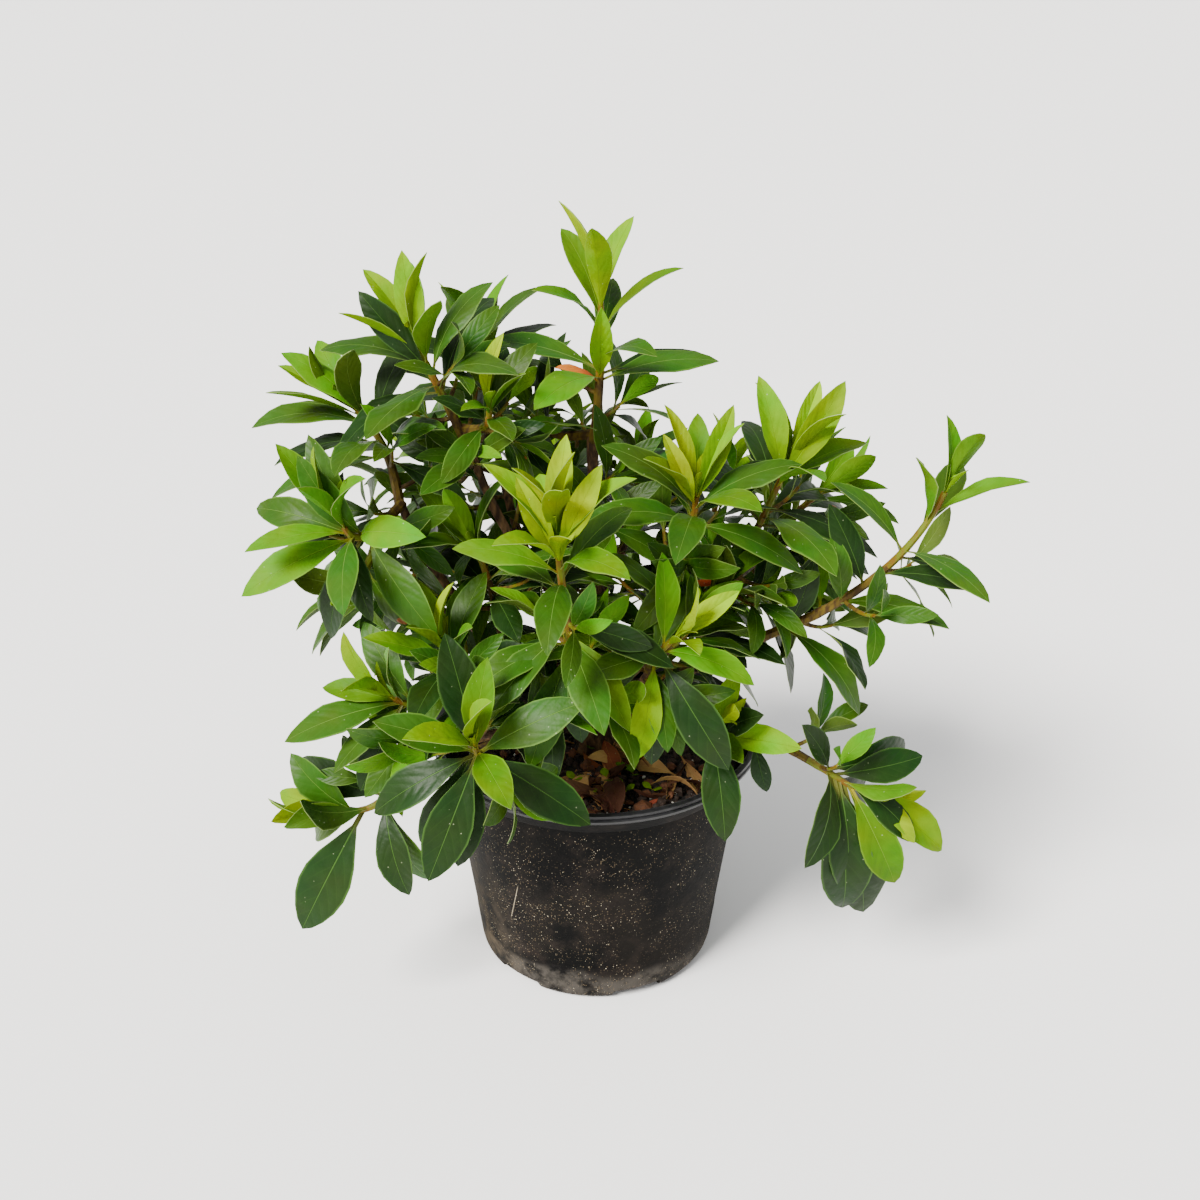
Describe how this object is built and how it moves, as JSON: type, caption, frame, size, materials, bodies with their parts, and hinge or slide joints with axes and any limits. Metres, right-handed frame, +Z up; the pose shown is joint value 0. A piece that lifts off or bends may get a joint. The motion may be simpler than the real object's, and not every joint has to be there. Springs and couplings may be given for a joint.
{
  "type": "potted evergreen azalea",
  "caption": "Young evergreen azalea shrub, open and leafy, in a tapered round plastic nursery pot filled with potting mix.",
  "frame": {"origin": "centre of the pot's flat underside, where it stands", "axes": "+Z up along the pot's axis; -Y is the front that the picture shows, +X is to its right"},
  "size_m": [0.3311, 0.2967, 0.3676],
  "materials": {
    "pot": "dull black-brown blow-moulded plastic, dusty, with a worn shiny lip",
    "potting_mix": "dark crumbly mix with dry leaf litter and white grains",
    "bark": "thin brown bark, orange-brown on young wood",
    "leaves": "leathery, slightly glossy leaves, dark green when old and bright yellow-green when young"
  },
  "bodies": {
    "root": {"bough_back": "bark", "bough_back_left": "bark", "bough_back_right": "bark", "bough_front": "bark", "bough_front_left": "bark", "bough_front_right": "bark", "bough_left": "bark", "bough_left_top": "bark", "bough_right": "bark", "bough_right_far": "bark", "bough_right_low": "bark", "bough_top": "bark", "branch_centre_back": "bark", "branch_inner_left": "bark", "branch_left_back": "bark", "branch_left_front": "bark", "branch_left_low": "bark", "branch_left_under": "bark", "branch_right_back": "bark", "branch_right_high": "bark", "pot": "pot", "shoot_back_high": "leaves", "shoot_back_left_high": "leaves", "shoot_back_left_low": "leaves", "shoot_back_low": "leaves", "shoot_back_right_high": "leaves", "shoot_back_right_low": "leaves", "shoot_centre": "leaves", "shoot_centre_back": "leaves", "shoot_front_left": "leaves", "shoot_front_left_high": "leaves", "shoot_front_low": "leaves", "shoot_front_rim": "leaves", "shoot_inner_left": "leaves", "shoot_inner_right": "leaves", "shoot_left": "leaves", "shoot_left_centre": "leaves", "shoot_left_hang": "leaves", "shoot_left_high": "leaves", "shoot_left_mid": "leaves", "shoot_left_top": "leaves", "shoot_left_top_back": "leaves", "shoot_left_under": "leaves", "shoot_right_back": "leaves", "shoot_right_far": "leaves", "shoot_right_front": "leaves", "shoot_right_hang": "leaves", "shoot_right_high": "leaves", "shoot_right_mid": "leaves", "shoot_top": "leaves", "shoot_top_back": "leaves", "soil": "potting_mix", "trunk": "bark"}
  },
  "joints": []
}
